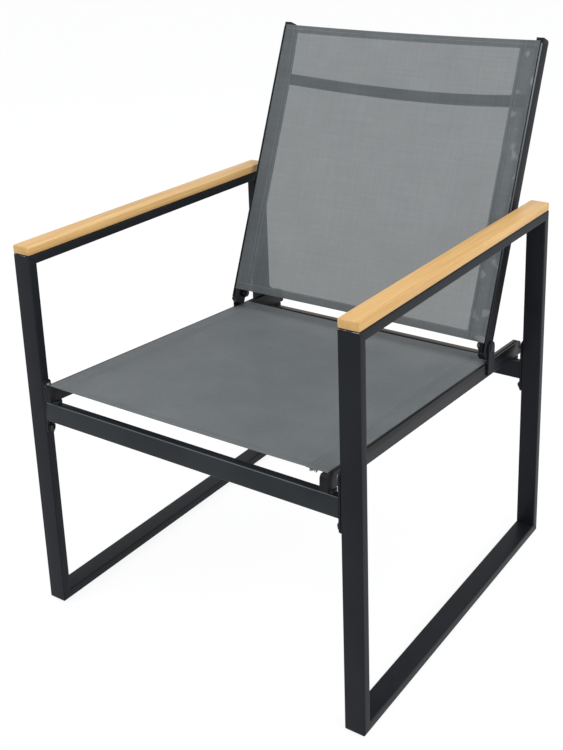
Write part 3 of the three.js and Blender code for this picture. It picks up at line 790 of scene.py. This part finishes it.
def dress_sling(sling, body, cloth, thread, tape=None):
    """Makes a sling's pieces, which stand for the plain CAD sling."""
    main = main_cloth(sling, cloth)
    extras = [side_band(sling, side, word, cloth) for side, word in ((-1, "left"), (1, "right"))]
    extras.append(stitching(sling, stitched_lines(sling), thread))
    if tape:
        extras.append(frayed_tape(sling, tape))
    for piece in (main, *extras):
        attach(piece, body)
    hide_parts(sling.node)


def make_slings():
    seat_thread = sewing_thread("seat_thread", *SEAT_THREAD)
    back_thread = sewing_thread("back_thread", *BACK_THREAD)
    plane = seat_plane()
    seat = Sling(
        "seat_sling",
        plane,
        seat_ends(plane),
        (SEAT_REAR_HEM, SEAT_FRONT_HEM),
        (SEAT_REAR_STITCH, SEAT_FRONT_STITCH),
        seat_seam,
        seat_bow,
    )
    back = Sling(
        "back_sling",
        back_plane(),
        (BACK_LOW, BACK_HIGH),
        (BACK_HEM, BACK_HEM),
        (BACK_LOW_STITCH, BACK_TOP_STITCH),
        back_seam,
        back_bow,
    )
    seat_cloth = woven_mesh("seat_mesh", *SEAT_CLOTH)
    back_cloth = woven_mesh("back_mesh", *BACK_CLOTH, pale_spots)
    tape = sewing_thread("hem_tape", *HEM_TAPE)
    dress_sling(seat, "frame", seat_cloth, seat_thread, tape)
    dress_sling(back, "back", back_cloth, back_thread)


# Rigid pieces


def smoothing_group():
    """Geometry nodes that join split corners and smooth all but the sharp edges."""
    group = bpy.data.node_groups.new("join_and_smooth", "GeometryNodeTree")
    group.interface.new_socket("Geometry", in_out="INPUT", socket_type="NodeSocketGeometry")
    group.interface.new_socket("Geometry", in_out="OUTPUT", socket_type="NodeSocketGeometry")
    enter = group.nodes.new("NodeGroupInput")
    leave = group.nodes.new("NodeGroupOutput")
    merge = group.nodes.new("GeometryNodeMergeByDistance")
    merge.inputs["Distance"].default_value = JOIN_DISTANCE
    angle = group.nodes.new("GeometryNodeInputMeshEdgeAngle")
    flat = group.nodes.new("FunctionNodeCompare")
    flat.data_type = "FLOAT"
    flat.operation = "LESS_THAN"
    flat.inputs["B"].default_value = SMOOTH_BELOW
    faces = group.nodes.new("GeometryNodeSetShadeSmooth")
    faces.domain = "FACE"
    edges = group.nodes.new("GeometryNodeSetShadeSmooth")
    edges.domain = "EDGE"
    group.links.new(enter.outputs["Geometry"], merge.inputs["Geometry"])
    group.links.new(merge.outputs["Geometry"], faces.inputs["Geometry"])
    group.links.new(faces.outputs["Geometry"], edges.inputs["Geometry"])
    group.links.new(angle.outputs["Unsigned Angle"], flat.inputs["A"])
    group.links.new(flat.outputs["Result"], edges.inputs["Shade Smooth"])
    group.links.new(edges.outputs["Geometry"], leave.inputs["Geometry"])
    return group


def rigid_materials():
    """The finish of each material slot of the record."""
    return {
        "frame_coat": powder_coat("frame_coat", *FRAME_COAT),
        "rail_coat": powder_coat("rail_coat", *RAIL_COAT),
        "arm_wood": honey_wood("arm_wood"),
        "black_plastic": moulded_plastic("black_plastic", *PLASTIC),
        "black_steel": dark_steel("black_steel", *STEEL),
        "mesh_fabric": woven_mesh("plain_mesh", *BACK_CLOTH),
    }


def special_materials():
    """Finishes of single pieces, by node. Most are painted light and shade."""
    # Paler steel on the upper plate bolts: painted highlight
    wear_and_highlight = dark_steel("highlit_steel", *HIGHLIT_STEEL)
    # The front legs carry painted glints along their top edges
    glinting = powder_coat("glint_coat", *FRAME_COAT, painted_glints)
    # The rear cross rail's upward faces are painted lighter: painted light
    top_lit = powder_coat("top_lit_coat", *FRAME_COAT, painted_top_light)
    # The right back post: painted shade in its darker coat, and a painted sheen on its lip
    shaded_post_sheen = powder_coat("shaded_post_sheen_coat", *SHADED_POST_COAT, painted_lip_sheen)
    shaded = powder_coat("shaded_coat", *RAIL_COAT, shaded_top)
    # The front cross rail: a paler coat and an edge highlight, both painted light
    lit_rail_highlight = powder_coat("lit_rail_highlight_coat", *LIT_FRONT_RAIL_COAT, painted_edge_highlight)
    special = {name: wear_and_highlight for name in nodes if "high_plate_bolt" in name}
    special["front_cross_rail"] = lit_rail_highlight
    special["rear_cross_rail"] = top_lit
    special["right_back_post"] = shaded_post_sheen
    for side in ("right", "left"):
        special[f"{side}_front_leg"] = glinting
        special[f"{side}_seat_rail"] = shaded
    return special


def round_edges(obj, group):
    """Rounds a tube's long edges, so that they catch the light."""
    bevel = obj.modifiers.new("rounded_edges", "BEVEL")
    bevel.width = RAIL_EDGE
    bevel.segments = RAIL_EDGE_STEPS
    bevel.limit_method = "ANGLE"
    bevel.angle_limit = SHARP_ABOVE
    again = obj.modifiers.new("smooth_again", "NODES")
    again.node_group = group


def dress_rigid():
    """Gives every CAD piece its material, and smooths all but its sharp edges."""
    group = smoothing_group()
    materials = rigid_materials()
    special = special_materials()
    slots = {row["node"]: row["material_slot"] for row in frame["record"]["subparts"]}
    for name, obj in nodes.items():
        obj.data.materials.clear()
        obj.data.materials.append(special.get(name, materials[slots[name]]))
        custom = obj.data.attributes.get("custom_normal")
        if custom:
            obj.data.attributes.remove(custom)
        modifier = obj.modifiers.new("join_and_smooth", "NODES")
        modifier.node_group = group
        if "cross_rail" in name:
            round_edges(obj, group)


# Studio


def seen_directly(tree):
    """One for the camera's rays and those of mirrors and glass, and zero for the rest."""
    path = tree.nodes.new("ShaderNodeLightPath")
    seen = path.outputs["Is Camera Ray"]
    mirrored = path.outputs["Is Glossy Ray"]
    direct = math_node(tree, "MAXIMUM", seen, mirrored)
    return math_node(tree, "MAXIMUM", direct, path.outputs["Is Transmission Ray"])


def background(tree, colour, strength):
    node = tree.nodes.new("ShaderNodeBackground")
    node.inputs["Color"].default_value = (*colour, 1)
    node.inputs["Strength"].default_value = strength
    return node.outputs["Background"]


def make_world():
    """A soft sky light that the camera sees as plain white."""
    world = bpy.data.worlds.new("studio")
    bpy.context.scene.world = world
    world.use_nodes = True
    tree = world.node_tree
    tree.nodes.clear()
    output = tree.nodes.new("ShaderNodeOutputWorld")
    mix = tree.nodes.new("ShaderNodeMixShader")
    tree.links.new(seen_directly(tree), mix.inputs["Fac"])
    tree.links.new(background(tree, *SKY), mix.inputs[1])
    tree.links.new(background(tree, *SEEN_SKY), mix.inputs[2])
    tree.links.new(mix.outputs["Shader"], output.inputs["Surface"])


def make_floor():
    """Pale floor: white to the camera but for the chair's faint shadow."""
    material, tree, output = new_material("pale_floor")
    matt = tree.nodes.new("ShaderNodeBsdfDiffuse")
    matt.inputs["Color"].default_value = (*FLOOR_COLOUR, 1)
    thin = tree.nodes.new("ShaderNodeBsdfDiffuse")
    thin.inputs["Color"].default_value = (*FLOOR_SEEN, 1)
    glow = tree.nodes.new("ShaderNodeEmission")
    glow.inputs["Strength"].default_value = FLOOR_GLOW
    both = tree.nodes.new("ShaderNodeAddShader")
    tree.links.new(thin.outputs["BSDF"], both.inputs[0])
    tree.links.new(glow.outputs["Emission"], both.inputs[1])
    mix = tree.nodes.new("ShaderNodeMixShader")
    tree.links.new(seen_directly(tree), mix.inputs["Fac"])
    tree.links.new(matt.outputs["BSDF"], mix.inputs[1])
    tree.links.new(both.outputs["Shader"], mix.inputs[2])
    tree.links.new(mix.outputs["Shader"], output.inputs["Surface"])
    reach = FLOOR_REACH
    corners = [(-reach, -reach, 0), (reach, -reach, 0), (reach, reach, 0), (-reach, reach, 0)]
    mesh_piece("studio_floor", corners, [(0, 1, 2, 3)], material, smooth=False)


def make_lights():
    """Soft square lamps, each turned to the chair's middle."""
    target = Vector(LIGHT_TARGET)
    for name, place, size, power in LIGHTS:
        data = bpy.data.lights.new(name, "AREA")
        data.shape = "SQUARE"
        data.size = size
        data.energy = power
        lamp = link(bpy.data.objects.new(name, data))
        lamp.location = place
        lamp.rotation_euler = (target - Vector(place)).to_track_quat("-Z", "Y").to_euler()


def make_camera():
    """The photograph's camera, with the shift that its framing needs."""
    data = bpy.data.cameras.new("photo_camera")
    data.sensor_fit = "AUTO"
    data.sensor_width = SENSOR
    data.lens = FOCAL_PIXELS * SENSOR / PHOTO_HEIGHT
    data.shift_x = -(CENTRE_PIXEL_X - PHOTO_WIDTH / 2) / PHOTO_HEIGHT
    data.shift_y = (CENTRE_PIXEL_Y - PHOTO_HEIGHT / 2) / PHOTO_HEIGHT
    data.clip_start = CLIP_NEAR
    data.clip_end = CLIP_FAR
    camera = link(bpy.data.objects.new("photo_camera", data))
    camera.location = CAMERA_PLACE
    camera.rotation_euler = [math.radians(angle) for angle in CAMERA_TURN]
    bpy.context.scene.camera = camera


bpy.context.scene.view_settings.view_transform = "Standard"
make_camera()
make_world()
make_floor()
make_lights()
dress_rigid()
make_slings()
